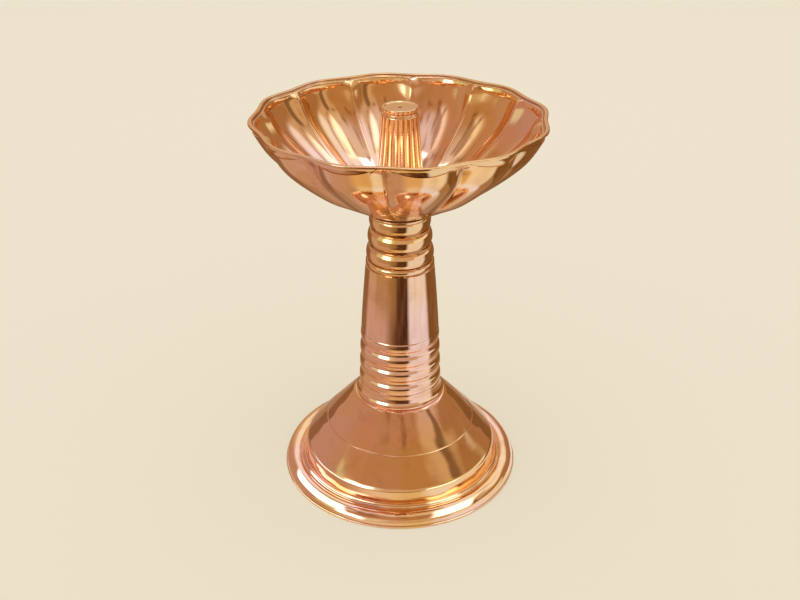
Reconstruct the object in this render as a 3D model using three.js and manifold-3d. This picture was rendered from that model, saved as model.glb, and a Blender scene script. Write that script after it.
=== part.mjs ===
// A small one-tier oil lamp of polished brass: a bell foot, a ringed stem, a twelve-petal oil bowl and
// a wick post, all drawn together by one threaded rod. Millimetres, +Z up, the front faces -Y.
// The origin is the centre of the ring that the foot stands on.
import * as THREE from "three";
import { mergeVertices } from "three/addons/utils/BufferGeometryUtils.js";
import Module from "manifold-3d";

const wasm = await Module();
wasm.setup();

const { degToRad, lerp, mapLinear, smoothstep } = THREE.MathUtils;

// Smoothness: flats round each turned piece, and points along each curve
const FOOT_FLATS = 48;
const STEM_FLATS = 36;
const POST_FLATS = 32;
const SMALL_FLATS = 24;
const LIP_POINTS = 6;
const BEND_POINTS = 4;
const FLANK_POINTS = 2;
const CONE_POINTS = 2;
const BOWL_ROWS = 8; // rings of facets up the bowl's wall
const CURVE_POINTS = 60;
const VALLEY_PLACES = [0.25, 0.5, 0.75]; // shares of the way across a valley and a bead
const BEAD_PLACES = [0, 0.1, 0.28, 0.5, 0.72, 0.9, 1];

// Foot: a hollow bell with a half-round lip
const FOOT_RADIUS = 40.4;
const FOOT_LIP_EDGE = 0.9; // height of the upright edge round the very bottom
const LIP_ROUND = 3.4; // radius of the half-round lip above that edge
const LIP_STEP = 0.3; // how far the half-round stands back from the edge below it
const LIP_START = degToRad(8); // the part of that round which shows, from the outward direction
const LIP_END = degToRad(115);
const LIP_DIP = 1.0; // how far the lip falls back into the groove behind it
const GROOVE_RADIUS = 34.6; // groove between the lip and the cove
const GROOVE_ROUND = 0.4;
const COVE_TOP_RADIUS = 33.4; // foot of the bell's short, almost upright wall
const COVE_HEIGHT = 1.6;
const COVE_CORNER = 0.6; // height above the groove at which the cove turns upright
const SHOULDER_RADIUS = 32.8;
const SHOULDER_HEIGHT = 8.2; // where the wall starts to curve in
const FLANK_START_RADIUS = 31.9;
const FLANK_START_HEIGHT = 10.1;
const FLANK_SWELL = 0.1; // how far the flank swells past a straight line, halfway up
const FLANK_LINE_HEIGHT = 17.8; // the fine turned line round the flank
const FLANK_LINE_DEPTH = 0.3;
const CROWN_RADIUS = 15.4;
const CROWN_HEIGHT = 28.6; // the flat that the stem stands on
const CROWN_WALL = 2.4;
const FOOT_WALL = 2.0;
const FOOT_LAND = 2.6; // width of the flat ring that rests on the table
const SPIGOT_HEIGHT = 2.0; // raised ring on the crown that centres the stem

// Stem: a hollow taper with four low ridges below, and a small collar and three round beads above
const STEM_HEIGHT = 65.6;
const STEM_WALL = 1.9;
const SKIRT_RADIUS = 14.9; // the skirt that the stem ends in, on the crown
const SKIRT_EDGE = 0.7; // its upright edge
const SKIRT_CORNER = 1.6; // height at which its hollow curve turns upright
const CONE_FOOT_HEIGHT = 3.6;
const CONE_FOOT_RADIUS = 13.75;
const CONE_TOP_RADIUS = 10.9; // at the foot of the beads
const CONE_SWELL = 0.4; // how far the taper swells past a straight line, halfway up
const NECK_RADIUS = 9.5; // the taper's line where it meets the flange
const RIDGE_COUNT = 4;
const RIDGE_PITCH = 5.4;
const RIDGE_FIRST = 6.4; // height of the lowest ridge's middle above the crown
const RIDGE_WIDTH = 2.8;
const RIDGE_PROUD = 0.1; // how far a ridge's middle stands out of the taper
const RIDGE_EDGE = 0.1; // how far its edges lie inside the taper
const RIDGE_HOLLOW = 0.35; // depth of the valleys, below those edges
const COLLAR_HEIGHT = 2.0;
const COLLAR_PROUD = 0.4; // above the fine grooves at its foot and its top
const COLLAR_GROOVE = 0.35;
const BEAD_COUNT = 3;
const BEAD_PITCH = 5.6;
const BEAD_GAP = 0.5; // flat bottom of the groove between two beads
const BEAD_PROUD = 0.85;
const BEAD_GROOVE = 0.7; // how far the grooves lie inside the taper's line
const BEAD_BLUNTNESS = 0.7; // below 1, a bead is fuller than a plain curve
const BEADS_HEIGHT = 15.0; // from the lowest groove up to the flange, which cuts the top bead short
const FLANGE_HEIGHT = 0.8; // thin flat ring under the bowl
const FLANGE_PROUD = 0.3;
const TOP_WEB = 2.4; // wall across the stem's upper end

// Oil bowl: a thin pressed pan of twelve petals with sharp creases
const PETALS = 12;
const PETAL_FLATS = 8; // flats across one petal
const PETAL_TURN = degToRad(9); // how far the front petal is turned from the front
const RIM_RADIUS = 45.2; // out to a petal's middle
const RIM_HEIGHT = 30.4; // above the bowl's seat
const SEAT_RADIUS = 10.6; // the flat under the bowl
const BOWL_WALL = 1.0;
const BOWL_SHAPE = [[0.437, 0.167], [0.622, 0.333], [0.875, 0.667]]; // shares of the rim's radius and height
const CREASE_SHARE = 0.078; // depth of a crease, as a share of the radius there
const RIM_CREASE_SHARE = 0.03; // the same at the rim, where the creases are soft waves
const CREASE_CHANGE_HEIGHT = 3.4; // over how much height below the rim the waves become creases
const CREASE_RUN_IN = 6.0; // over how much radius the creases fade into the flat seat
const LIP_LOW = 0.9; // height of the lip at a crease
const LIP_CRESCENT = 2.1; // how much taller the lip is in a petal's middle
const LIP_SWELL = 0.5; // how far a petal swells just under the lip
const LIP_SWELL_HEIGHT = 3.0; // over how much height that swelling dies away
const LIP_TUCK = 0.3; // how far the lip steps in above the swelling
const LIP_TUCK_HEIGHT = 0.2;

// Wick post
const POST_HEIGHT = 31.4;
const POST_FOOT_RADIUS = 7.8;
const POST_NECK_RADIUS = 5.7;
const POST_GROOVE = 0.5; // the groove between the head and the body
const HEAD_RADIUS = 5.5;
const HEAD_HEIGHT = 1.3;
const HEAD_SOCKET_RADIUS = 0.6;
const HEAD_SOCKET_DEPTH = 2.0;
const HEAD_RING = 0.9; // width of the flat ring round the dished top
const HEAD_DISH = 0.3;

// Threaded rod and what it draws together
const ROD_RADIUS = 3.0;
const ROD_TAIL = 1.3; // length of rod that shows below the nut
const ROD_CHAMFER = 0.6;
const POST_GRIP = 8.0; // length of rod inside the wick post
const GASKET_RADIUS = 9.2;
const GASKET_THICKNESS = 0.8;
const POST_WASHER_RADIUS = 9.0;
const POST_WASHER_THICKNESS = 0.6;
const FOOT_WASHER_RADIUS = 9.0;
const FOOT_WASHER_THICKNESS = 1.5;
const NUT_ACROSS_FLATS = 10.0;
const NUT_HEIGHT = 5.0;
const NUT_SIDES = 6;
const NUT_CORNER_SLOPE = degToRad(30);
const NUT_CUT_PAST = 0.5; // how far the turned shape reaches past the corners that it takes off

// Room between pieces, and the small chamfer on turned edges
const THREAD_GAP = 0.3; // between the rod and the pieces that screw on it
const HOLE_GAP = 0.5; // between the rod and the pieces that it passes through
const ROD_END_GAP = 2.0; // past the rod's end, inside the post
const SPIGOT_GAP = 0.3; // between the spigot and the stem's bore
const EDGE = 0.3;

// Heights and radii that follow from the sizes above
const threadRadius = ROD_RADIUS + THREAD_GAP;
const holeRadius = ROD_RADIUS + HOLE_GAP;
const crownUnderside = CROWN_HEIGHT - CROWN_WALL;
const flangeFoot = STEM_HEIGHT - FLANGE_HEIGHT;
const beadsFoot = flangeFoot - BEADS_HEIGHT;
const stemTop = CROWN_HEIGHT + STEM_HEIGHT;
const bowlSeat = stemTop + GASKET_THICKNESS;
const bowlFloor = bowlSeat + BOWL_WALL;
const postSeat = bowlFloor + POST_WASHER_THICKNESS;
const nutTop = crownUnderside - FOOT_WASHER_THICKNESS;
const nutFoot = nutTop - NUT_HEIGHT;
const rodFoot = nutFoot - ROD_TAIL;
const rodTop = postSeat + POST_GRIP;

const brass = { color: 0xc98d5c, roughness: 0.12, metalness: 1.0 };
const steel = { color: 0xb9bcc0, roughness: 0.35, metalness: 1.0 };
const rubber = { color: 0x2b2622, roughness: 0.9, metalness: 0.0 };

const at = (radius, height) => new THREE.Vector2(radius, height);

// Whole steps from 0 to 1
const shares = (count) => Array.from({ length: count + 1 }, (_, i) => i / count);

// A named mesh with its own material
function piece(name, geometry, look, height = 0) {
  const mesh = new THREE.Mesh(geometry, new THREE.MeshStandardMaterial(look));
  mesh.name = name;
  mesh.position.z = height;
  return mesh;
}

// Turns an outline of (radius, height) points round the lamp's axis
function turned(outline, flats) {
  const geometry = new THREE.LatheGeometry(outline, flats);
  geometry.rotateX(Math.PI / 2);
  return geometry;
}

// Points of a circular arc, with angles from the outward direction
function arc(centre, round, from, to, steps) {
  return shares(steps).map((share) => {
    const angle = lerp(from, to, share);
    return at(centre.x + round * Math.cos(angle), centre.y + round * Math.sin(angle));
  });
}

// Points of a soft bend from one point to another, pulled towards a corner
function bend(from, corner, to, steps) {
  return new THREE.QuadraticBezierCurve(from, corner, to).getPoints(steps);
}

// A flat ring with a round hole
function ring(radius, thickness) {
  const outline = [at(holeRadius, 0), at(radius, 0), at(radius, thickness), at(holeRadius, thickness)];
  return turned([...outline, outline[0]], SMALL_FLATS);
}

// The bell's flank, as a straight slope and as it is, slightly full
const flankSlope = (FLANK_START_RADIUS - CROWN_RADIUS) / (CROWN_HEIGHT - FLANK_START_HEIGHT);

function straightFlank(height) {
  return FLANK_START_RADIUS - (height - FLANK_START_HEIGHT) * flankSlope;
}

function fullFlank(height) {
  const share = mapLinear(height, FLANK_START_HEIGHT, CROWN_HEIGHT, 0, 1);
  return straightFlank(height) + FLANK_SWELL * Math.sin(Math.PI * share);
}

// The bell foot: lip, groove, cove, short wall, shoulder and flank outside, a plain bell inside
function bellFoot() {
  const lipCentre = at(FOOT_RADIUS - LIP_STEP - LIP_ROUND, FOOT_LIP_EDGE);
  const groove = at(GROOVE_RADIUS, FOOT_LIP_EDGE + LIP_ROUND - LIP_DIP);
  const coveFoot = at(groove.x - GROOVE_ROUND, groove.y + GROOVE_ROUND);
  const coveCorner = at(COVE_TOP_RADIUS, groove.y + COVE_CORNER);
  const coveTop = at(COVE_TOP_RADIUS, groove.y + COVE_HEIGHT);
  const shoulder = at(SHOULDER_RADIUS, SHOULDER_HEIGHT);
  const flankStart = at(FLANK_START_RADIUS, FLANK_START_HEIGHT);
  const startSlope = flankSlope - (FLANK_SWELL * Math.PI) / (CROWN_HEIGHT - FLANK_START_HEIGHT);
  const shoulderCorner = FLANK_START_HEIGHT - (SHOULDER_RADIUS - FLANK_START_RADIUS) / startSlope;
  const lineTop = FLANK_LINE_HEIGHT + FLANK_LINE_DEPTH;
  const flank = shares(FLANK_POINTS).map((share) => {
    const height = lerp(lineTop, CROWN_HEIGHT - EDGE, share);
    return at(fullFlank(height), height);
  });
  const outside = [
    at(FOOT_RADIUS - FOOT_LAND, 0),
    at(FOOT_RADIUS - EDGE, 0),
    at(FOOT_RADIUS, EDGE),
    at(FOOT_RADIUS, FOOT_LIP_EDGE),
    ...arc(lipCentre, LIP_ROUND, LIP_START, LIP_END, LIP_POINTS),
    groove,
    ...bend(coveFoot, coveCorner, coveTop, BEND_POINTS),
    ...bend(shoulder, at(SHOULDER_RADIUS, shoulderCorner), flankStart, BEND_POINTS),
    at(fullFlank(FLANK_LINE_HEIGHT - FLANK_LINE_DEPTH), FLANK_LINE_HEIGHT - FLANK_LINE_DEPTH),
    at(fullFlank(FLANK_LINE_HEIGHT) - FLANK_LINE_DEPTH, FLANK_LINE_HEIGHT),
    ...flank,
    at(CROWN_RADIUS - EDGE, CROWN_HEIGHT),
  ];
  const crown = [
    at(stemBore(0) - SPIGOT_GAP, CROWN_HEIGHT),
    at(stemBore(0) - SPIGOT_GAP, CROWN_HEIGHT + SPIGOT_HEIGHT),
    at(holeRadius, CROWN_HEIGHT + SPIGOT_HEIGHT),
    at(holeRadius, crownUnderside),
  ];
  const wallAcross = FOOT_WALL * Math.hypot(1, flankSlope);
  const innerFlankStart = at(FLANK_START_RADIUS - wallAcross, FLANK_START_HEIGHT);
  const innerShoulder = at(SHOULDER_RADIUS - FOOT_WALL, SHOULDER_HEIGHT);
  const inside = [
    at(straightFlank(crownUnderside) - wallAcross, crownUnderside),
    ...bend(innerFlankStart, at(innerShoulder.x, shoulderCorner), innerShoulder, BEND_POINTS),
    at(GROOVE_RADIUS - FOOT_WALL, lipCentre.y + LIP_ROUND - FOOT_WALL),
    at(lipCentre.x, lipCentre.y + LIP_ROUND - FOOT_WALL),
    at(FOOT_RADIUS - FOOT_LAND, FOOT_LIP_EDGE),
    at(FOOT_RADIUS - FOOT_LAND, 0),
  ];
  return turned([...outside, ...crown, ...inside], FOOT_FLATS);
}

// Slightly full taper of the stem, without its rings, at a height above the crown
function coneRadius(height) {
  const share = mapLinear(height, CONE_FOOT_HEIGHT, beadsFoot, 0, 1);
  return lerp(CONE_FOOT_RADIUS, CONE_TOP_RADIUS, share) + CONE_SWELL * Math.sin(Math.PI * share);
}

// The stem's bore narrows with the cone
function stemBore(height) {
  const topBore = NECK_RADIUS - BEAD_GROOVE - STEM_WALL;
  return mapLinear(height, 0, STEM_HEIGHT - TOP_WEB, CONE_FOOT_RADIUS - STEM_WALL, topBore);
}

// Low, slightly round ridges with hollow valleys between them
function ridgePoints() {
  const valley = RIDGE_PITCH - RIDGE_WIDTH;
  const points = [];
  for (let i = 0; i < RIDGE_COUNT; i++) {
    const middle = RIDGE_FIRST + i * RIDGE_PITCH;
    const [foot, top] = [middle - RIDGE_WIDTH / 2, middle + RIDGE_WIDTH / 2];
    points.push(at(coneRadius(foot) - RIDGE_EDGE, foot), at(coneRadius(middle) + RIDGE_PROUD, middle));
    points.push(at(coneRadius(top) - RIDGE_EDGE, top));
    if (i === RIDGE_COUNT - 1) break;
    for (const share of VALLEY_PLACES) {
      const height = top + share * valley;
      const hollow = RIDGE_EDGE + RIDGE_HOLLOW * (1 - (2 * share - 1) ** 2);
      points.push(at(coneRadius(height) - hollow, height));
    }
  }
  return points;
}

// The plain cone from the ridges up to the small collar
function conePoints() {
  const foot = RIDGE_FIRST + (RIDGE_COUNT - 1) * RIDGE_PITCH + RIDGE_WIDTH / 2 + RIDGE_EDGE;
  const top = beadsFoot - COLLAR_HEIGHT - COLLAR_GROOVE;
  return shares(CONE_POINTS).map((share) => {
    const height = lerp(foot, top, share);
    return at(coneRadius(height), height);
  });
}

// The half-round collar, flush between two fine grooves, and the beads up to the flange
function beadPoints() {
  const points = shares(BEND_POINTS).map((share) => {
    const height = beadsFoot - COLLAR_HEIGHT * (1 - share);
    return at(coneRadius(height) - COLLAR_GROOVE + COLLAR_PROUD * Math.sin(Math.PI * share), height);
  });
  const bead = (height) => {
    const share = Math.min(((height - beadsFoot) % BEAD_PITCH) / (BEAD_PITCH - BEAD_GAP), 1);
    const groove = mapLinear(height, beadsFoot, flangeFoot, CONE_TOP_RADIUS, NECK_RADIUS) - BEAD_GROOVE;
    return at(groove + BEAD_PROUD * (1 - (2 * share - 1) ** 2) ** BEAD_BLUNTNESS, height);
  };
  for (let i = 0; i < BEAD_COUNT; i++) {
    for (const share of BEAD_PLACES) {
      const height = beadsFoot + i * BEAD_PITCH + share * (BEAD_PITCH - BEAD_GAP);
      if (height < flangeFoot - EDGE) points.push(bead(height));
    }
  }
  return [...points, bead(flangeFoot)];
}

// The hollow stem
function stem() {
  const skirtTop = RIDGE_FIRST - RIDGE_WIDTH / 2 - EDGE;
  const bore = STEM_HEIGHT - TOP_WEB;
  const flange = NECK_RADIUS + FLANGE_PROUD;
  return turned([
    at(stemBore(0), 0),
    at(SKIRT_RADIUS - EDGE, 0),
    at(SKIRT_RADIUS, EDGE),
    ...bend(at(SKIRT_RADIUS, SKIRT_EDGE), at(coneRadius(CONE_FOOT_HEIGHT), SKIRT_CORNER),
      at(coneRadius(skirtTop), skirtTop), BEND_POINTS),
    ...ridgePoints(),
    ...conePoints(),
    ...beadPoints(),
    at(flange, flangeFoot),
    at(flange, STEM_HEIGHT),
    at(holeRadius, STEM_HEIGHT),
    at(holeRadius, bore),
    at(stemBore(bore), bore),
    at(stemBore(0), 0),
  ], STEM_FLATS);
}

// The bowl's outline through a petal's middle
const bowlCurve = new THREE.SplineCurve([
  at(SEAT_RADIUS, 0),
  ...BOWL_SHAPE.map(([out, up]) => at(out * RIM_RADIUS, up * RIM_HEIGHT)),
  at(RIM_RADIUS, RIM_HEIGHT),
]);
const bowlPoints = bowlCurve.getPoints(CURVE_POINTS);

// Radius of that outline at a height
function bowlRadius(height) {
  const above = Math.max(bowlPoints.findIndex((point) => point.y >= height), 1);
  const [low, high] = [bowlPoints[above - 1], bowlPoints[above]];
  return mapLinear(height, low.y, high.y, low.x, high.x);
}

// Height of the lip's foot at a place across a petal: 0 in its middle, 1 at its creases
function lipFoot(across) {
  return RIM_HEIGHT - LIP_LOW - LIP_CRESCENT * (1 - across ** 2);
}

// Radius of the petalled skin: sharp creases that turn into soft waves at the rim
function petalRadius(height, across) {
  const radius = bowlRadius(height);
  const sharpness = smoothstep(RIM_HEIGHT - height, 0, CREASE_CHANGE_HEIGHT);
  const wave = (1 - Math.cos(Math.PI * across)) / 2;
  const depth = lerp(RIM_CREASE_SHARE * wave, CREASE_SHARE * across ** 2, sharpness);
  const fade = smoothstep(radius, SEAT_RADIUS, SEAT_RADIUS + CREASE_RUN_IN);
  const below = Math.max(lipFoot(across) - height, 0);
  const swell = LIP_SWELL * (1 - across ** 2) * Math.exp(-below / LIP_SWELL_HEIGHT);
  return radius * (1 - depth * fade) + swell * fade;
}

// One column of the bowl's outside, from the seat to the foot of the lip
function petalOutside(across) {
  const foot = lipFoot(across);
  const heights = [];
  for (let i = 1; i <= BOWL_ROWS; i++) {
    heights.push(bowlCurve.getPoint(i / (BOWL_ROWS + 1)).y * (foot / lipFoot(1)));
  }
  return [...heights, foot].map((height) => at(petalRadius(height, across), height));
}

// Moves each point but the last of a column to the inside of the wall
function insideOf(column) {
  return column.slice(0, -1).map((point, i) => {
    const before = i ? column[i - 1] : at(SEAT_RADIUS, 0);
    const along = column[i + 1].clone().sub(before).normalize();
    return at(point.x - BOWL_WALL * along.y, point.y + BOWL_WALL * along.x);
  });
}

// The bowl as one skin: out along the underside, over the rim, back along the inside, down the hole
function oilBowl() {
  const column = (across) => {
    const outside = petalOutside(across);
    const foot = outside[outside.length - 1];
    const tuck = LIP_TUCK * (1 - across ** 2);
    const rim = RIM_RADIUS * (1 - RIM_CREASE_SHARE * (1 - Math.cos(Math.PI * across)) / 2);
    return [
      at(holeRadius, 0),
      at(SEAT_RADIUS, 0),
      ...outside,
      at(foot.x - tuck, foot.y + LIP_TUCK_HEIGHT),
      at(rim, RIM_HEIGHT),
      at(rim - BOWL_WALL, RIM_HEIGHT),
      at(foot.x - tuck - BOWL_WALL, foot.y + LIP_TUCK_HEIGHT),
      ...insideOf(outside).reverse(),
      at(SEAT_RADIUS - BOWL_WALL, BOWL_WALL),
      at(holeRadius, BOWL_WALL),
    ];
  };
  return petalSkin(column);
}

// Closes a skin whose columns of (radius, height) run round the lamp's axis
function petalSkin(column) {
  const count = PETALS * PETAL_FLATS;
  const crease = PETAL_TURN - Math.PI / 2 + Math.PI / PETALS;
  const positions = [];
  let rows = 0;
  for (let c = 0; c < count; c++) {
    const across = Math.abs(((c % PETAL_FLATS) / PETAL_FLATS) * 2 - 1);
    const angle = crease + (c / count) * Math.PI * 2;
    const points = column(across);
    rows = points.length;
    for (const { x: radius, y: height } of points) {
      positions.push(radius * Math.cos(angle), radius * Math.sin(angle), height);
    }
  }
  const indices = [];
  for (let c = 0; c < count; c++) {
    for (let r = 0; r < rows; r++) {
      const here = c * rows + r;
      const up = c * rows + ((r + 1) % rows);
      const next = ((c + 1) % count) * rows + r;
      const nextUp = ((c + 1) % count) * rows + ((r + 1) % rows);
      indices.push(here, next, nextUp, here, nextUp, up);
    }
  }
  const geometry = new THREE.BufferGeometry();
  geometry.setAttribute("position", new THREE.Float32BufferAttribute(positions, 3));
  geometry.setIndex(indices);
  return geometry;
}

// The wick post: a plain taper with a flat, slightly dished head and a tapped hole from below
function wickPost() {
  const headFoot = POST_HEIGHT - HEAD_HEIGHT;
  const bodyTop = headFoot - 2 * POST_GROOVE;
  const waist = POST_NECK_RADIUS - POST_GROOVE;
  return turned([
    at(0, POST_GRIP + ROD_END_GAP),
    at(threadRadius, POST_GRIP + ROD_END_GAP),
    at(threadRadius, 0),
    at(POST_FOOT_RADIUS - EDGE, 0),
    at(POST_FOOT_RADIUS, EDGE),
    at(POST_NECK_RADIUS, bodyTop),
    at(waist, bodyTop + POST_GROOVE),
    at(waist, headFoot),
    at(HEAD_RADIUS, headFoot + EDGE),
    at(HEAD_RADIUS, POST_HEIGHT - EDGE),
    at(HEAD_RADIUS - EDGE, POST_HEIGHT),
    at(HEAD_RADIUS - HEAD_RING, POST_HEIGHT),
    at(HEAD_SOCKET_RADIUS, POST_HEIGHT - HEAD_DISH),
    at(HEAD_SOCKET_RADIUS, POST_HEIGHT - HEAD_SOCKET_DEPTH),
    at(0, POST_HEIGHT - HEAD_SOCKET_DEPTH),
  ], POST_FLATS);
}

// The rod, with both ends chamfered
function tieRod() {
  const length = rodTop - rodFoot;
  const end = ROD_RADIUS - ROD_CHAMFER;
  return turned([
    at(0, 0), at(end, 0), at(ROD_RADIUS, ROD_CHAMFER),
    at(ROD_RADIUS, length - ROD_CHAMFER), at(end, length), at(0, length),
  ], SMALL_FLATS);
}

// Makes a closed solid that can be cut from a geometry
function solidOf(geometry) {
  const bare = geometry.clone();
  bare.deleteAttribute("normal");
  bare.deleteAttribute("uv");
  const merged = mergeVertices(bare);
  const mesh = new wasm.Mesh({
    numProp: 3,
    vertProperties: new Float32Array(merged.attributes.position.array),
    triVerts: new Uint32Array(merged.index.array),
  });
  return new wasm.Manifold(mesh);
}

function geometryOf(solid) {
  const mesh = solid.getMesh();
  const geometry = new THREE.BufferGeometry();
  geometry.setAttribute("position", new THREE.BufferAttribute(mesh.vertProperties, 3));
  geometry.setIndex(new THREE.BufferAttribute(mesh.triVerts, 1));
  return geometry;
}

// The hexagon nut: a drilled prism whose corners are turned off at both ends
function hexNut() {
  const flat = NUT_ACROSS_FLATS / 2;
  const corner = flat / Math.cos(Math.PI / NUT_SIDES);
  const prism = new THREE.CylinderGeometry(corner, corner, NUT_HEIGHT, NUT_SIDES);
  prism.rotateX(Math.PI / 2);
  prism.translate(0, 0, NUT_HEIGHT / 2);
  const past = corner + NUT_CUT_PAST;
  const drop = (past - flat) * Math.tan(NUT_CORNER_SLOPE);
  const turnedOff = turned([
    at(threadRadius, 0), at(flat, 0), at(past, drop), at(past, NUT_HEIGHT - drop), at(flat, NUT_HEIGHT),
    at(threadRadius, NUT_HEIGHT), at(threadRadius, 0),
  ], SMALL_FLATS);
  return geometryOf(solidOf(prism).intersect(solidOf(turnedOff)));
}

const lamp = new THREE.Group();
lamp.add(
  piece("base_bell", bellFoot(), brass),
  piece("stem", stem(), brass, CROWN_HEIGHT),
  piece("bowl_gasket", ring(GASKET_RADIUS, GASKET_THICKNESS), rubber, stemTop),
  piece("oil_bowl", oilBowl(), brass, bowlSeat),
  piece("post_washer", ring(POST_WASHER_RADIUS, POST_WASHER_THICKNESS), brass, bowlFloor),
  piece("wick_post", wickPost(), brass, postSeat),
  piece("tie_rod", tieRod(), steel, rodFoot),
  piece("foot_washer", ring(FOOT_WASHER_RADIUS, FOOT_WASHER_THICKNESS), steel, nutTop),
  piece("foot_nut", hexNut(), steel, nutFoot),
);

export default lamp;
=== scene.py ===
"""A small one-tier oil lamp of polished brass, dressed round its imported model, in metres."""

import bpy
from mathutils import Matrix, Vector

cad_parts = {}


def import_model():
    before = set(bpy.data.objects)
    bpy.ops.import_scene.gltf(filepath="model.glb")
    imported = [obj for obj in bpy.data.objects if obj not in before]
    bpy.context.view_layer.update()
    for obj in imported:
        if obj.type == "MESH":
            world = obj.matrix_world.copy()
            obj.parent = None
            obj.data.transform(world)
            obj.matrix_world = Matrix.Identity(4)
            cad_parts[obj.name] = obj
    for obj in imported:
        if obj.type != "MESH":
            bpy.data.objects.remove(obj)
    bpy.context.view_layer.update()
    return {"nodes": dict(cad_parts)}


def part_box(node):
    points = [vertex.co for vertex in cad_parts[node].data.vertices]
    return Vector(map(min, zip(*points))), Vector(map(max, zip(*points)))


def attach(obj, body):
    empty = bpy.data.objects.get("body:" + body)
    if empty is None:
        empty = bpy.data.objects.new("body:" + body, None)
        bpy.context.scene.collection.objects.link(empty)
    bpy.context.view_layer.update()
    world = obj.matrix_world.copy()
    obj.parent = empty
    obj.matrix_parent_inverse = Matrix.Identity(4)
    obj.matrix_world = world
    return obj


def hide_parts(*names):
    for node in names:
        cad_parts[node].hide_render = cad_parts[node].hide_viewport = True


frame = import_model()

import math

import bpy
import numpy as np
from mathutils import Vector

MM = 0.001
TAU = 2 * math.pi
NODES = frame["nodes"]


# Numbers and colours in a shader tree
class Wire:
    """One output of a shader tree. Arithmetic on it adds Math nodes."""

    def __init__(self, tree, socket):
        self.tree = tree
        self.socket = socket

    def maths(self, operation, *values):
        return self.tree.node("Math", {"operation": operation}, *values)

    def __add__(self, other):
        return self.maths("ADD", self, other)

    def __sub__(self, other):
        return self.maths("SUBTRACT", self, other)

    def __rsub__(self, other):
        return self.maths("SUBTRACT", other, self)

    def __mul__(self, other):
        return self.maths("MULTIPLY", self, other)

    def __truediv__(self, other):
        return self.maths("DIVIDE", self, other)

    def __pow__(self, other):
        return self.maths("POWER", self, other)

    def __neg__(self):
        return self.maths("MULTIPLY", self, -1.0)

    def sine(self):
        return self.maths("SINE", self)

    def size(self):
        return self.maths("ABSOLUTE", self)

    def between(self, low, high):
        """0 below low, 1 above high, with a soft step from one to the other."""
        settings = {"interpolation_type": "SMOOTHSTEP"}
        return self.tree.node("MapRange", settings, Value=self, From_Min=low, From_Max=high)


class Tree:
    """The node tree of a material or of the world."""

    def __init__(self, owner):
        owner.use_nodes = True
        self.nodes = owner.node_tree.nodes
        self.links = owner.node_tree.links
        self.nodes.clear()

    def plug(self, socket, value):
        if isinstance(value, Wire):
            self.links.new(value.socket, socket)
        elif isinstance(value, tuple) and socket.type == "RGBA":
            socket.default_value = (*value, 1.0)
        else:
            socket.default_value = value

    def node(self, kind, settings, *values, out=None, **named):
        """Adds a node. Its settings come first, then its sockets by place or by name."""
        made = self.nodes.new("ShaderNode" + kind)
        for key, value in settings.items():
            if key == "stops":
                self.set_stops(made.color_ramp, value)
            else:
                setattr(made, key, value)
        for place, value in enumerate(values):
            self.plug(made.inputs[place], value)
        for key, value in named.items():
            self.plug(self.named(made.inputs, key.replace("_", " ")), value)
        if not made.outputs:
            return made
        shown = [socket for socket in made.outputs if socket.enabled]
        return Wire(self, self.named(made.outputs, out) if out else shown[0])

    @staticmethod
    def named(sockets, name):
        """The socket of that name that the node's settings have left in use."""
        return next(s for s in sockets if s.name == name and s.enabled)

    @staticmethod
    def set_stops(ramp, stops):
        while len(ramp.elements) < len(stops):
            ramp.elements.new(0.5)
        for element, (place, colour) in zip(ramp.elements, stops):
            element.position = place
            element.color = (*colour, 1.0)

    def mixed(self, share, first, second):
        settings = {"data_type": "RGBA", "blend_type": "MIX", "clamp_factor": True}
        return self.node("Mix", settings, Factor=share, A=first, B=second)

    def noise(self, place, scale, detail, roughness=0.5):
        return self.node("TexNoise", {}, Vector=place, Scale=scale, Detail=detail, Roughness=roughness)

    def parts(self, vector):
        """The x, y and z of a vector."""
        x = self.node("SeparateXYZ", {}, vector, out="X")
        sockets = x.socket.node.outputs
        return x, Wire(self, sockets["Y"]), Wire(self, sockets["Z"])

    def bearing(self, x, y):
        """The angle round the lamp: 0 to the front, and a quarter turn to the right."""
        return self.node("Math", {"operation": "ARCTAN2"}, x, -y)


def linear(red, green, blue):
    """A colour as it is seen, in 0 to 255, as the shader's own numbers."""
    def one(level):
        level /= 255
        return level / 12.92 if level <= 0.04045 else ((level + 0.055) / 1.055) ** 2.4
    return tuple(one(level) for level in (red, green, blue))


# Camera
CAMERA_BACK = 0.28825
CAMERA_UP = 0.21975
CAMERA_PITCH = math.radians(28.64)
SENSOR_WIDTH = 36.0
LENS = 45.0
NEAREST = 0.01


def camera():
    data = bpy.data.cameras.new("camera")
    data.sensor_width = SENSOR_WIDTH
    data.lens = LENS
    data.clip_start = NEAREST
    eye = bpy.data.objects.new("camera", data)
    eye.location = (0, -CAMERA_BACK, CAMERA_UP)
    eye.rotation_euler = (math.pi / 2 - CAMERA_PITCH, 0, 0)
    bpy.context.scene.collection.objects.link(eye)
    bpy.context.scene.camera = eye


# Light
def softbox(name, place, towards, width, height, brightness):
    """A rectangular lamp that metal doesn't mirror. Its brightness is that of a white card facing it."""
    data = bpy.data.lights.new(name, "AREA")
    data.shape = "RECTANGLE"
    data.size = width
    data.size_y = height
    data.energy = brightness * math.pi * width * height
    lamp = bpy.data.objects.new(name, data)
    lamp.location = place
    aim = Vector(towards) - Vector(place)
    lamp.rotation_euler = aim.to_track_quat("-Z", "Y").to_euler()
    lamp.visible_glossy = False
    bpy.context.scene.collection.objects.link(lamp)


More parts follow.
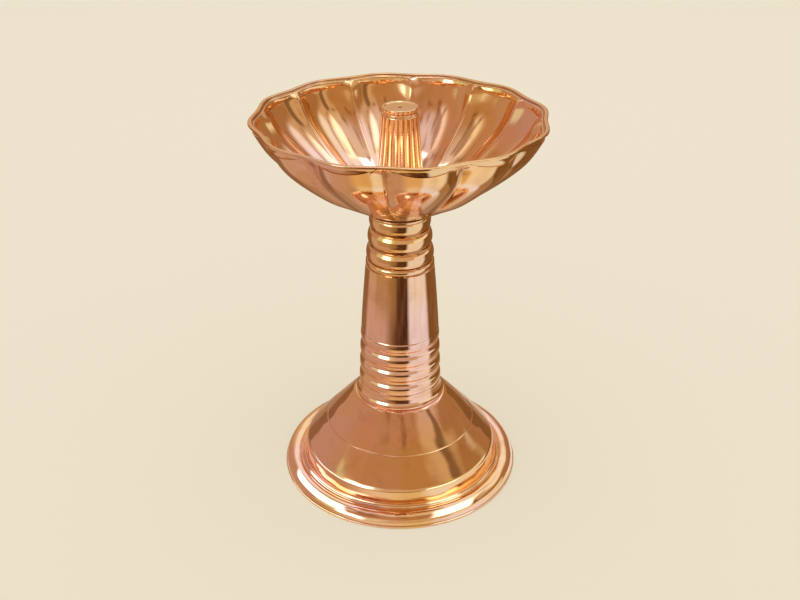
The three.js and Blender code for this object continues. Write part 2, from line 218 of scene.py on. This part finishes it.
# What the metal mirrors: each patch of the studio has a colour, a bearing (0 to the front, 90 to the right),
# a height over the table, half its width, half its height, the softness of its edge, and its strength
STUDIO = (
    ("lilac wall", (1.12, 1.22, 1.55), 156, 51, 48, 20, 18, 0.8),
    ("rose wall", (0.52, 0.29, 0.17), -95, 38, 46, 12, 12, 0.9),
    ("low left wall", (0.52, 0.33, 0.26), -108, 12, 40, 20, 14, 0.9),
    ("tan curtain", (0.50, 0.29, 0.15), -4, 50, 48, 19, 14, 0.95),
    ("tan board", (0.48, 0.27, 0.13), 24, 33, 28, 7, 12, 0.85),
    ("wooden screen", (0.40, 0.22, 0.11), 122, 10, 42, 21, 12, 0.94),
    ("dark door", (0.16, 0.07, 0.03), 72, 34, 7, 14, 8, 0.8),
    ("low white board", (1.0, 1.05, 1.05), 80, 1, 32, 12, 8, 0.95),
    ("olive curtain", (0.76, 0.80, 0.52), -52, 11, 32, 17, 10, 0.9),
    ("window", (2.6, 2.9, 3.3), -46, 12, 14, 15, 10, 1.0),
    ("left strip lamp", (1.05, 0.95, 0.90), -86, 62, 24, 8, 9, 1.0),
    ("right strip lamp", (1.6, 1.65, 1.8), 104, 62, 24, 8, 9, 1.0),
    ("top lamp", (3.8, 4.4, 5.4), 180, 82, 60, 9, 8, 1.0),
)
WALL = (0.66, 0.50, 0.38)
CEILING = (0.82, 0.76, 0.80)
CEILING_FROM, CEILING_FULL = math.radians(46), math.radians(78)

# Dark hangings, in patches high on the walls
HANGING = (0.26, 0.10, 0.035)
HANGING_SHARE = 0.72
HANGING_FROM, HANGING_FULL = math.radians(42), math.radians(54)
HANGING_SCALE, HANGING_DETAIL = 4.0, 1.5
HANGING_EDGE = (0.48, 0.62)

# What a matt surface sees, and what the camera sees
ROOM_LIGHT = (0.93, 0.93, 0.93)
CREAM = linear(238, 228, 206)


def patch(tree, x, y, rise, bearing, height, half_wide, half_tall, soft):
    """1 inside one patch of the studio and 0 outside it, with a soft edge."""
    turn = math.radians(bearing)
    across = x * math.cos(turn) + y * math.sin(turn)
    ahead = x * math.sin(turn) - y * math.cos(turn)
    aside = tree.node("Math", {"operation": "ARCTAN2"}, across, ahead).size()
    over = (rise - math.radians(height)).size()
    edge = math.radians(soft)
    half_wide, half_tall = math.radians(half_wide), math.radians(half_tall)
    inside = 1 - aside.between(half_wide - edge / 2, half_wide + edge / 2)
    return inside * (1 - over.between(half_tall - edge / 2, half_tall + edge / 2))


def world():
    """A pale room. Metal sees the studio round it; the camera sees plain cream."""
    owner = bpy.data.worlds.new("room")
    bpy.context.scene.world = owner
    tree = Tree(owner)
    way = tree.node("TexCoord", {}, out="Generated")
    x, y, z = tree.parts(way)
    rise = tree.node("Math", {"operation": "ARCSINE"}, z)
    glossy = tree.node("LightPath", {}, out="Is Glossy Ray")
    seen = tree.node("LightPath", {}, out="Is Camera Ray")
    room = tree.mixed(rise.between(CEILING_FROM, CEILING_FULL), WALL, CEILING)
    for _, colour, *place, share in STUDIO:
        room = tree.mixed(patch(tree, x, y, rise, *place) * share, room, colour)
    high = rise.between(HANGING_FROM, HANGING_FULL)
    hanging = tree.noise(way, HANGING_SCALE, HANGING_DETAIL).between(*HANGING_EDGE)
    room = tree.mixed(hanging * high * HANGING_SHARE, room, HANGING)
    even = tree.mixed(glossy, ROOM_LIGHT, room)
    final = tree.mixed(seen, even, CREAM)
    back = tree.node("Background", {}, final, 1.0)
    tree.node("OutputWorld", {}, Surface=back)


# The table
TABLE_HALF = 3.0
TABLE_GLOW = 0.6
TABLE_GRAIN = 900.0
TABLE_TONES = (linear(239, 229, 207), linear(237, 227, 205))


def floor():
    """The plain pale table, with its own soft glow so that the lamp's shadow stays faint."""
    half = TABLE_HALF
    mesh = bpy.data.meshes.new("floor")
    corners = [(-half, -half, 0), (half, -half, 0), (half, half, 0), (-half, half, 0)]
    mesh.from_pydata(corners, [], [(0, 1, 2, 3)])
    table = bpy.data.objects.new("floor", mesh)
    bpy.context.scene.collection.objects.link(table)
    look = bpy.data.materials.new("table")
    tree = Tree(look)
    place = tree.node("TexCoord", {}, out="Object")
    paper = tree.mixed(tree.noise(place, TABLE_GRAIN, 3.0), *TABLE_TONES)
    matt = tree.node("BsdfDiffuse", {}, paper, 1.0)
    glow = tree.node("Emission", {}, paper, 1.0)
    surface = tree.node("MixShader", {}, TABLE_GLOW, matt, glow)
    tree.node("OutputMaterial", {}, Surface=surface)
    mesh.materials.append(look)


# Three rings of coloured card that lie round the lamp for its stem, foot and bowl to mirror.
# Each ring has its inner radius in metres, and its colours by bearing in degrees.
CARD_RINGS = (
    (0.0415, ((-180, (0.55, 0.38, 0.27)), (-125, (0.55, 0.38, 0.27)), (-110, (0.56, 0.36, 0.25)),
              (-44, (0.56, 0.36, 0.25)), (-22, (0.85, 0.74, 0.52)), (15, (0.85, 0.74, 0.52)),
              (25, (0.98, 1.05, 1.35)), (95, (0.98, 1.05, 1.35)), (112, (0.80, 0.70, 0.60)),
              (180, (0.55, 0.38, 0.27)))),
    (0.056, ((-180, (0.42, 0.26, 0.15)), (-120, (0.42, 0.26, 0.15)), (-109, (0.58, 0.39, 0.29)),
             (-44, (0.58, 0.39, 0.29)), (-24, (0.76, 0.54, 0.27)), (15, (0.76, 0.54, 0.27)),
             (24, (0.95, 0.93, 0.92)), (82, (0.95, 0.93, 0.92)), (92, (0.40, 0.25, 0.12)),
             (180, (0.42, 0.26, 0.15)))),
    (0.095, ((-180, (0.26, 0.13, 0.06)), (-120, (0.28, 0.14, 0.07)), (-109, (0.62, 0.45, 0.40)),
             (-44, (0.62, 0.45, 0.40)), (-22, (0.24, 0.13, 0.07)), (-6, (0.08, 0.03, 0.012)),
             (20, (0.07, 0.025, 0.01)), (29, (0.92, 0.98, 1.20)), (82, (0.92, 0.98, 1.20)),
             (92, (0.20, 0.10, 0.024)), (180, (0.26, 0.13, 0.06)))),
)
CARD_OUTER = 8.0
CARD_HEIGHT = 0.0004
CARD_BLEND = 0.010
CARD_SIDES = 96

# The cards' mottling, and a browner stretch far out to the front left, by share of a turn
MOTTLE = (0.42, 0.28, 0.18)
MOTTLE_SHARE, MOTTLE_SCALE, MOTTLE_EDGE = 0.22, 22.0, (0.35, 0.7)
FAR_CARD = (0.42, 0.27, 0.13)
FAR_SHARE, FAR_FROM, FAR_FULL = 0.6, 0.140, 0.200
FAR_MIDDLE, FAR_EDGE = 0.375, (0.08, 0.11)


def stage_card(name, points, faces, look):
    """A card that only the metal mirrors: no camera, shadow or matt surface sees it."""
    card = mesh_object(name, points, faces, look)
    card.visible_camera = False
    card.visible_diffuse = False
    card.visible_shadow = False


def ring_sector(inner, outer, first, last, height, sides):
    """The points and faces of a flat ring between two radii and two bearings in degrees."""
    points, faces = [], []
    for s in range(sides + 1):
        bearing = math.radians(first + (last - first) * s / sides)
        for radius in (inner, outer):
            points.append((radius * math.sin(bearing), -radius * math.cos(bearing), height))
    for s in range(sides):
        here, beside = 2 * s, 2 * s + 2
        faces.append((here, here + 1, beside + 1, beside))
    return points, faces


def card_rings():
    look = bpy.data.materials.new("coloured_card")
    tree = Tree(look)
    place = tree.node("TexCoord", {}, out="Object")
    x, y, _ = tree.parts(place)
    turn = tree.bearing(x, y) / TAU + 0.5
    radius = (x * x + y * y) ** 0.5
    around = None
    for inner, colours in CARD_RINGS:
        stops = [(bearing / 360 + 0.5, colour) for bearing, colour in colours]
        ring = tree.node("ValToRGB", {"stops": stops}, turn)
        around = tree.mixed(radius.between(inner, inner + CARD_BLEND), around, ring) if around else ring
    mottle = tree.noise(place, MOTTLE_SCALE, 3.0).between(*MOTTLE_EDGE)
    worn = tree.mixed(mottle * MOTTLE_SHARE, around, MOTTLE)
    far = radius.between(FAR_FROM, FAR_FULL) * (1 - (turn - FAR_MIDDLE).size().between(*FAR_EDGE))
    worn = tree.mixed(far * FAR_SHARE, worn, FAR_CARD)
    glow = tree.node("Emission", {}, worn, 1.0)
    tree.node("OutputMaterial", {}, Surface=glow)
    sector = ring_sector(CARD_RINGS[0][0], CARD_OUTER, 0, 360, CARD_HEIGHT, CARD_SIDES)
    stage_card("card_rings", *sector, look)


# Two white cards over the foot's lip, left and right, each with its bearings in degrees
LIP_CARDS = (("left", -80, -30), ("right", 17, 46))
LIP_CARD_INNER, LIP_CARD_OUTER, LIP_CARD_HEIGHT = 0.0385, 0.057, 0.0105
LIP_CARD_END = 5
LIP_CARD_SIDES = 24
LIP_LIGHT = (2.0, 2.6, 3.2)


def lip_cards():
    """White from below only, so that the lip mirrors them and the stem and the bowl don't."""
    for side, first, last in LIP_CARDS:
        look = bpy.data.materials.new(f"{side}_lip_card")
        tree = Tree(look)
        x, y, _ = tree.parts(tree.node("TexCoord", {}, out="Object"))
        bearing = tree.bearing(x, y) * (360 / TAU)
        middle, half = (first + last) / 2, (last - first) / 2
        ends = 1 - (bearing - middle).size().between(half - LIP_CARD_END, half)
        below = tree.node("NewGeometry", {}, out="Backfacing")
        glow = tree.node("Emission", {}, LIP_LIGHT, 1.0)
        clear = tree.node("BsdfTransparent", {})
        surface = tree.node("MixShader", {}, ends * below, clear, glow)
        tree.node("OutputMaterial", {}, Surface=surface)
        sector = ring_sector(LIP_CARD_INNER, LIP_CARD_OUTER, first, last, LIP_CARD_HEIGHT, LIP_CARD_SIDES)
        stage_card(f"{side}_lip_card", *sector, look)


# Finishes: each pattern has its scale a metre and its detail, and two have their own roughness
CLOUDS = (26.0, 3.0)
FLECKS = (140.0, 4.0, 0.6)
SMEARS = (75.0, 4.0, 0.65)
FLECK_SHARE = 0.18
# How far hollow edges are darkened: painted shade
GROOVE_SHADE_SHARE = 0.75
GROOVE_POINTINESS = (0.455, 0.497)  # a hollow edge is below the first, a flat above the second
GROOVE_ROUGHNESS = 0.12
SMEAR_ROUGHNESS = 1.1  # as a share of the plain metal's
LINE_PITCH = 0.0006  # from one turned line to the next, in metres
LINE_SLANT = 0.8  # how the turned lines also run across a flat


def metal(name, rosy, golden, fleck_and_shade_tone, roughness, ripple, ripple_scale, line_depth):
    """Polished metal: clouds of colour, dark flecks, painted shade in its grooves, faint smears, turned lines
    and a slightly wavy skin.
    """
    look = bpy.data.materials.new(name)
    tree = Tree(look)
    place = tree.node("TexCoord", {}, out="Object")
    x, y, z = tree.parts(place)
    cloud = tree.noise(place, *CLOUDS).between(0.38, 0.62)
    fleck = tree.noise(place, *FLECKS).between(0.5, 0.75)
    colour = tree.mixed(cloud, rosy, golden)
    colour = tree.mixed(fleck * FLECK_SHARE, colour, fleck_and_shade_tone)
    # Painted shade: hollow edges, found by pointiness, are darkened towards the third tone (they also get
    # rougher)
    groove = 1 - tree.node("NewGeometry", {}, out="Pointiness").between(*GROOVE_POINTINESS)
    colour = tree.mixed(groove * GROOVE_SHADE_SHARE, colour, fleck_and_shade_tone)
    smear = tree.noise(place, *SMEARS).between(0.45, 0.75)
    rough = smear * (roughness * SMEAR_ROUGHNESS) + groove * GROOVE_ROUGHNESS + roughness
    wave = tree.noise(place, ripple_scale, 2.0) * ripple
    radius = (x * x + y * y) ** 0.5
    lines = ((z + radius * LINE_SLANT) * (TAU / LINE_PITCH)).sine() * line_depth
    skin = tree.node("Bump", {}, Strength=1.0, Distance=1.0, Height=wave + lines)
    surface = tree.node("BsdfPrincipled", {}, Base_Color=colour, Metallic=1.0, Roughness=rough, Normal=skin)
    tree.node("OutputMaterial", {}, Surface=surface)
    return look


def rubber(name, dark, pale, grain):
    look = bpy.data.materials.new(name)
    tree = Tree(look)
    place = tree.node("TexCoord", {}, out="Object")
    speck = tree.noise(place, grain, 4.0)
    colour = tree.mixed(speck, dark, pale)
    skin = tree.node("Bump", {}, Strength=0.4, Distance=0.0001, Height=speck)
    surface = tree.node("BsdfPrincipled", {}, Base_Color=colour, Roughness=speck * 0.2 + 0.7, Normal=skin)
    tree.node("OutputMaterial", {}, Surface=surface)
    return look


# Making meshes
def mesh_object(name, points, faces, look, sharp=35):
    mesh = bpy.data.meshes.new(name)
    mesh.from_pydata([tuple(p) for p in points], [], faces)
    mesh.validate()
    mesh.polygons.foreach_set("use_smooth", [True] * len(mesh.polygons))
    mesh.set_sharp_from_angle(angle=math.radians(sharp))
    mesh.materials.append(look)
    made = bpy.data.objects.new(name, mesh)
    bpy.context.scene.collection.objects.link(made)
    return made


def round_point(radius, angle, height):
    """A point at a radius and a height in millimetres, as metres."""
    return radius * MM * math.cos(angle), radius * MM * math.sin(angle), height * MM


def skin_faces(columns, rows):
    """Quads of a closed tube of skin: rows run along each column and columns run round."""
    faces = []
    for c in range(columns):
        for r in range(rows):
            here, up = c * rows + r, c * rows + (r + 1) % rows
            beside = ((c + 1) % columns) * rows
            faces.append((here, beside + r, beside + (r + 1) % rows, up))
    return faces


def revolve(name, outline, look, sides=240):
    """Turns an outline of (radius, height) in millimetres round the lamp's axis."""
    points, rings, faces = [], [], []
    for radius, height in outline:
        first = len(points)
        on_axis = radius < 1e-6
        count = 1 if on_axis else sides
        points += [round_point(0 if on_axis else radius, s * TAU / sides, height) for s in range(count)]
        rings.append(range(first, first + count))
    closed = len(rings[0]) > 1
    for low, high in zip(rings, [*rings[1:], rings[0]] if closed else rings[1:]):
        if len(low) == 1 and len(high) == 1:
            continue
        for s in range(sides):
            n = (s + 1) % sides
            if len(low) == 1:
                faces.append((low[0], high[n], high[s]))
            elif len(high) == 1:
                faces.append((low[s], low[n], high[0]))
            else:
                faces.append((low[s], low[n], high[n], high[s]))
    return mesh_object(name, points, faces, look)


def bend(start, corner, end, steps):
    """A soft bend from start to end, pulled towards a corner."""
    start, corner, end = (np.array(p, float) for p in (start, corner, end))
    made = []
    for i in range(steps + 1):
        t = i / steps
        made.append(tuple((1 - t) ** 2 * start + 2 * t * (1 - t) * corner + t * t * end))
    return made


def arc(radius, height, round_, first, last, steps):
    """Points of a circular arc, with angles in degrees from the outward direction."""
    angles = np.radians(np.linspace(first, last, steps + 1))
    return [(radius + round_ * math.cos(a), height + round_ * math.sin(a)) for a in angles]


def eased(corners, steps=5):
    """An outline of (radius, height, rounding) corners, each rounded off."""
    made = []
    count = len(corners)
    for i, (radius, height, ease) in enumerate(corners):
        here = np.array((radius, height), float)
        if not ease:
            made.append((radius, height))
            continue
        before = np.array(corners[i - 1][:2], float)
        after = np.array(corners[(i + 1) % count][:2], float)
        into = here + (before - here) / np.linalg.norm(before - here) * ease
        out = here + (after - here) / np.linalg.norm(after - here) * ease
        made += bend(into, here, out, steps)
    return made


def sharp_of(points):
    return [(radius, height, 0) for radius, height in points]


# Heights and radii that the frame gives, in millimetres
def low(node):
    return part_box(node)[0].z / MM


def high(node):
    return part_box(node)[1].z / MM


def reach(node):
    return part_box(node)[1].x / MM


CROWN = low("stem")
STEM_TOP = high("stem")
FOOT_REACH = reach("base_bell")

# Sizes that two pieces share, in millimetres
ROD_HOLE = 3.5
STEM_WALL = 1.9


# The bell foot
def bell(look):
    land, land_ease = 2.6, 0.3
    lip_edge, lip_round, lip_step, lip_dip = 0.9, 3.4, 0.3, 1.0
    lip_middle = FOOT_REACH - lip_step - lip_round
    lip_first, lip_last = 6, 116
    groove, groove_height = 34.6, lip_edge + lip_round - lip_dip
    wall_foot, wall_foot_height = 33.4, groove_height + 1.6
    shoulder, shoulder_height = 32.8, 8.2
    flank, flank_height = 31.9, 10.1
    crown, swell, thick, crown_thick = 15.4, 0.1, 2.0, 2.4
    tall = CROWN - flank_height
    slope = (flank - crown) / tall
    start_slope = slope - swell * math.pi / tall
    shoulder_corner = flank_height - (shoulder - flank) / start_slope

    def on_flank(height):
        share = (height - flank_height) / tall
        return flank - (height - flank_height) * slope + swell * math.sin(math.pi * share), height

    # The lip and the groove behind it
    outside = [(FOOT_REACH - land, 0), (FOOT_REACH - land_ease, 0)]
    outside += bend((FOOT_REACH - land_ease, 0), (FOOT_REACH, 0), (FOOT_REACH, land_ease), 4)[1:]
    outside += bend((FOOT_REACH, lip_edge - 0.25), (FOOT_REACH, lip_edge), (FOOT_REACH - 0.2, lip_edge), 4)
    outside += arc(lip_middle, lip_edge, lip_round, lip_first, lip_last, 30)
    outside += bend((groove + 0.35, groove_height + 0.35), (groove, groove_height),
                    (groove - 0.3, groove_height + 0.3), 5)

    # The short upright wall and the shoulder
    outside += bend((groove - 0.4, groove_height + 0.4), (wall_foot + 0.1, groove_height + 0.6),
                    (wall_foot, wall_foot_height), 8)
    outside += bend((shoulder + 0.03, shoulder_height), (shoulder, shoulder_corner),
                    (flank, flank_height), 20)

    # The flank, with one fine turned line, and the crown
    line, line_deep, line_half, crown_ease = 17.8, 0.3, 0.2, 0.8
    outside += [on_flank(h) for h in np.linspace(flank_height, line - line_deep, 8)[1:]]
    line_bottom = (on_flank(line)[0] - line_deep, line)
    outside += bend(on_flank(line - line_half), line_bottom, on_flank(line + line_half), 6)
    outside += [on_flank(h) for h in np.linspace(line + line_deep, CROWN - crown_ease - 0.1, 16)]
    outside += bend(on_flank(CROWN - crown_ease), (crown, CROWN), (crown - 0.5, CROWN), 5)

    # The spigot that centres the stem, and the hollow
    spigot, spigot_height = reach("stem") - 3.35, 2.0
    under = CROWN - crown_thick
    under_lip = lip_edge + lip_round - thick
    across = thick * math.hypot(1, slope)
    inside = [
        (spigot, CROWN, 0), (spigot, CROWN + spigot_height, 0.3),
        (ROD_HOLE, CROWN + spigot_height, 0.2), (ROD_HOLE, under, 0.2),
        (flank - (under - flank_height) * slope - across, under, 1.5), (flank - across, flank_height, 0),
    ]
    inside += sharp_of(bend((flank - across, flank_height), (shoulder - thick, shoulder_corner),
                            (shoulder - thick, shoulder_height), 10)[1:])
    inside += [(groove - thick, under_lip, 0.6), (lip_middle, under_lip, 0.8),
               (FOOT_REACH - land, lip_edge, 0.3)]
    return revolve("bell", eased(sharp_of(outside) + inside), look)


# The stem
def stem_tube(look):
    flare, flare_edge, flare_height, flare_ease = reach("stem"), 0.7, 3.6, 0.3
    cone_foot, cone_top, neck, swell = 13.75, 10.9, 9.5, 0.4
    bead_foot, flange, flange_proud, web = 49.8, 0.8, 0.3, 2.4
    length = STEM_TOP - CROWN

    def cone(height):
        share = (height - flare_height) / (bead_foot - flare_height)
        return cone_foot + (cone_top - cone_foot) * share + swell * math.sin(math.pi * share)

    outline = [(cone_foot - STEM_WALL, 0), (flare - flare_ease, 0)]
    outline += bend((flare - flare_ease, 0), (flare, 0), (flare, flare_ease + 0.05), 4)[1:]

    # Four low, slightly round lands with hollow valleys between
    first, pitch, land = 6.4, 5.4, 2.8
    proud, edge, hollow = 0.1, 0.1, 0.35
    lands = [first + i * pitch for i in range(4)]
    skirt_top = lands[0] - land / 2 - 0.3
    outline += bend((flare, flare_edge), (cone(flare_height), 1.6), (cone(skirt_top), skirt_top), 20)
    for middle in lands:
        for share in np.linspace(-1, 1, 15):
            height = middle + share * land / 2
            outline.append((cone(height) + proud - (proud + edge) * abs(share) ** 3, height))
        if middle == lands[-1]:
            break
        for share in np.linspace(0.03, 0.97, 20):
            height = middle + land / 2 + share * (pitch - land)
            outline.append((cone(height) - edge - hollow * (1 - (2 * share - 1) ** 2), height))

    # The plain cone, and a half-round between two fine grooves
    collar, collar_groove, collar_proud, collar_bluntness = 2.0, 0.35, 0.4, 0.8
    collar_low = bead_foot - collar
    for height in np.linspace(lands[-1] + land / 2 + edge, collar_low - collar_groove, 18):
        outline.append((cone(height), height))
    for share in np.linspace(0, 1, 17):
        height = collar_low + share * collar
        bulge = collar_proud * math.sin(math.pi * share) ** collar_bluntness
        outline.append((cone(height) - collar_groove + bulge, height))

    # Three round beads, the top one cut short by the flange
    bead_top = length - flange
    bead_pitch, bead_gap, bead_groove, bead_proud, bead_bluntness = 5.6, 0.5, 0.7, 0.85, 0.7
    for i in range(3):
        foot = bead_foot + i * bead_pitch
        for share in np.linspace(0, 1, 25):
            height = foot + share * (bead_pitch - bead_gap)
            if height > bead_top:
                break
            taper = (height - bead_foot) / (bead_top - bead_foot)
            groove = cone_top - bead_groove + (neck - cone_top) * taper
            outline.append((groove + bead_proud * (1 - (2 * share - 1) ** 2) ** bead_bluntness, height))
    flange_reach = neck + flange_proud
    outline += bend((neck - 0.1, bead_top + 0.02), (flange_reach, bead_top + 0.02),
                    (flange_reach, bead_top + 0.3), 4)
    outline += bend((flange_reach, length - 0.2), (flange_reach, length), (flange_reach - 0.2, length), 4)

    # Its bore
    outline += [(ROD_HOLE, length), (ROD_HOLE, length - web), (neck - bead_groove - STEM_WALL, length - web)]
    return revolve("stem_tube", [(radius, height + CROWN) for radius, height in outline], look)


# The bowl
PETALS = 12
PETAL_TURN = math.radians(9)


def spline(points, count):
    """Points along a smooth curve through a few points, evenly spread by their own number."""
    points = [np.array(p, float) for p in points]
    ends = [2 * points[0] - points[1]] + points + [2 * points[-1] - points[-2]]
    made = []
    for i in range(count + 1):
        t = i / count * (len(points) - 1)
        k = min(int(t), len(points) - 2)
        t -= k
        a, b, c, d = ends[k:k + 4]
        made.append(0.5 * (2 * b + (c - a) * t + (2 * a - 5 * b + 4 * c - d) * t * t
                           + (3 * b - 3 * c + d - a) * t ** 3))
    return made


def smooth(share):
    share = min(max(share, 0), 1)
    return share * share * (3 - 2 * share)


def petal_bowl(look):
    seat, rise = low("oil_bowl"), high("oil_bowl") - low("oil_bowl")
    seat_radius, rim, wall, run_in = 10.6, 45.17, 1.0, 6.0
    body_crease, rim_crease, pinch_from, pinch = 0.078, 0.03, 0.4, 3.4
    line_low, line_tall, line_half = 0.9, 2.1, 0.06
    belly, belly_reach, step, lip_hollow = 0.5, 3.0, 0.3, 0.25
    band, band_proud, band_wide, band_ease = 0.8, 0.18, 1.2, 0.35
    curve = spline([(seat_radius, 0), (0.437 * rim, 0.167 * rise), (0.622 * rim, 0.333 * rise),
                    (0.875 * rim, 0.667 * rise), (rim - band_proud, rise)], 80)
    curve_heights = [height for _, height in curve]
    curve_radii = [radius for radius, _ in curve]

    def vee(across):
        """A sharp valley at a petal's edge, with a small round at its bottom."""
        soft_from = 0.93
        if across < soft_from:
            return across ** 2
        past = (across - soft_from) / (1 - soft_from)
        return soft_from ** 2 + 2 * soft_from * (1 - soft_from) * (past - past * past / 2)

    def skin(height, across):
        """The wall's outer radius. across is 0 in a petal's middle and 1 at a crease."""
        below = rise - height
        middle = 1 - across ** 2
        line = line_low + line_tall * middle
        sink = smooth((below - pinch_from) / pinch)
        share = rim_crease + (body_crease - rim_crease) * sink
        shape = (1 - math.cos(math.pi * across)) / 2
        dip = shape + (vee(across) - shape) * sink
        radius = float(np.interp(height, curve_heights, curve_radii))
        fade = smooth((radius - seat_radius) / run_in)
        radius *= 1 - share * fade * dip
        if below > line:
            return radius + belly * middle * math.exp(-(below - line) / belly_reach)
        up = below / line
        return radius + (belly - step) * middle * up ** 2 - lip_hollow * middle * math.sin(math.pi * up)

    def outside(across):
        line = rise - line_low - line_tall * (1 - across ** 2)
        heights = list((line - line_half) * np.linspace(0, 1, 40)[1:] ** 0.9)
        heights += list(line + line_half + (rise - band - line - line_half) * np.linspace(0, 1, 12))
        return [(skin(height, across), height) for height in heights]

    def column(across):
        outer = outside(across)
        inner = []
        for before, here, after in zip(outer, outer[1:], outer[2:]):
            along = np.array(after) - np.array(before)
            along /= np.linalg.norm(along)
            height = min(here[1] + wall * along[0], rise - band)
            inner.append((here[0] - wall * along[1], height))
        edge = skin(rise, across) + band_proud
        foot, far = rise - band + 0.05, edge - band_wide
        roll = bend((edge - 0.1, foot), (edge, foot), (edge, foot + 0.2), 3)
        roll += bend((edge, rise - band_ease), (edge, rise), (edge - band_ease, rise), 5)
        roll += bend((far + band_ease, rise), (far + 0.05, rise), (far, rise - 0.3), 5)
        seat_foot = [(ROD_HOLE, 0), (seat_radius - 0.5, 0)]
        seat_top = [(seat_radius - wall, wall), (ROD_HOLE, wall)]
        return seat_foot + outer + roll + inner[::-1] + seat_top

    steps = 36
    even = 0.65  # the columns lie closer together in a petal's middle where this is below 1
    shares = [1 - abs(k / steps * 2 - 1) for k in range(steps)]
    acrosses = [1 - math.sin(share * math.pi / 2) * (1 - even) - share * even for share in shares]
    signs = [-1 if k < steps / 2 else 1 for k in range(steps)]
    columns = [column(across) for across in acrosses]
    points = []
    for petal in range(PETALS):
        middle = PETAL_TURN - math.pi / 2 + (petal + 1) * TAU / PETALS
        for made, across, sign in zip(columns, acrosses, signs):
            angle = middle + sign * across * math.pi / PETALS
            points += [round_point(radius, angle, height + seat) for radius, height in made]
    return mesh_object("petal_bowl", points, skin_faces(PETALS * steps, len(columns[0])), look, 60)


# The wick post
def post(look):
    foot, tall = low("wick_post"), high("wick_post") - low("wick_post")
    radius, neck, groove = reach("wick_post"), 5.7, 0.5
    head, head_tall, ring = 5.5, 1.3, 0.7
    thread, thread_tall = 3.3, 10
    socket, socket_deep, dish = 0.6, 2, 0.3
    head_foot = tall - head_tall
    body_top = head_foot - 2 * groove
    corners = [
        (0, thread_tall, 0), (thread, thread_tall, 0), (thread, 0, 0.1),
        (radius, 0, 0.25), (neck, body_top, 0.25),
        (neck - groove, body_top + groove, 0.2), (neck - groove, head_foot, 0.15),
        (head, head_foot + 0.1, 0.4), (head, tall, 0.35), (head - ring, tall, 0.2),
        (head - ring - 0.4, tall - dish + 0.05, 0.2), (socket, tall - dish, 0.1),
        (socket, tall - socket_deep, 0.2), (0, tall - socket_deep, 0),
    ]
    return revolve("post", [(r, h + foot) for r, h in eased(corners)], look)


# The threaded rod
def rod(look):
    foot, top, radius = low("tie_rod"), high("tie_rod"), reach("tie_rod")
    pitch, depth, chamfer = 1.0, 0.3, 0.6
    sides, per_turn = 24, 6
    rows = int((top - foot) / pitch * per_turn)
    points = [(0, 0, foot * MM)]
    for r in range(rows + 1):
        height = foot + (top - foot) * r / rows
        end = min(height - foot, top - height, chamfer)
        for s in range(sides):
            turn = (height / pitch - s / sides) % 1
            crest = 1 - abs(2 * turn - 1)
            points.append(round_point(radius - depth * crest - (chamfer - end), s / sides * TAU, height))
    points.append((0, 0, top * MM))
    faces = []
    last = 1 + rows * sides
    for s in range(sides):
        n = (s + 1) % sides
        faces.append((0, 1 + n, 1 + s))
        for here in range(1, last, sides):
            faces.append((here + s, here + n, here + sides + n, here + sides + s))
        faces.append((last + s, last + n, len(points) - 1))
    return mesh_object("rod", points, faces, look, 25)


# The scene
camera()
world()
floor()
card_rings()
lip_cards()
softbox("overhead", place=(0.0, 0.12, 0.80), towards=(0, 0, 0.06), width=0.60, height=0.40, brightness=1.0)

# Each finish has a rosy tone, a golden tone, and a dark tone used for flecks and for the painted shade in
# grooves
BRASS_TONES = ((0.95, 0.60, 0.42), (0.93, 0.585, 0.26), (0.34, 0.12, 0.04))
STEEL_TONES = ((0.62, 0.63, 0.66), (0.52, 0.52, 0.54), (0.30, 0.29, 0.28))
brass = metal("polished_brass", *BRASS_TONES, roughness=0.045, ripple=0.00006, ripple_scale=95.0,
              line_depth=0.0000012)
foot_brass = metal("polished_foot_brass", *BRASS_TONES, roughness=0.055, ripple=0.0014, ripple_scale=42.0,
                   line_depth=0.0000008)
steel = metal("zinc_plate", *STEEL_TONES, roughness=0.28, ripple=0.00003, ripple_scale=95.0,
              line_depth=0.0)
seal = rubber("brown_rubber", dark=(0.10, 0.045, 0.022), pale=(0.17, 0.08, 0.04), grain=1400.0)


def dress(piece, body, slot, *nodes):
    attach(piece, body)
    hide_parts(*nodes)


dress(bell(foot_brass), "foot", "polished_brass", "base_bell")
dress(stem_tube(brass), "foot", "polished_brass", "stem")
dress(petal_bowl(brass), "bowl", "polished_brass", "oil_bowl")
dress(post(brass), "post", "polished_brass", "wick_post")
dress(rod(steel), "foot", "plated_steel", "tie_rod")
KEPT = {"foot_washer": steel, "foot_nut": steel, "post_washer": brass, "bowl_gasket": seal}
for node, finish in KEPT.items():
    NODES[node].data.materials.clear()
    NODES[node].data.materials.append(finish)

bpy.context.scene.view_settings.view_transform = "Standard"
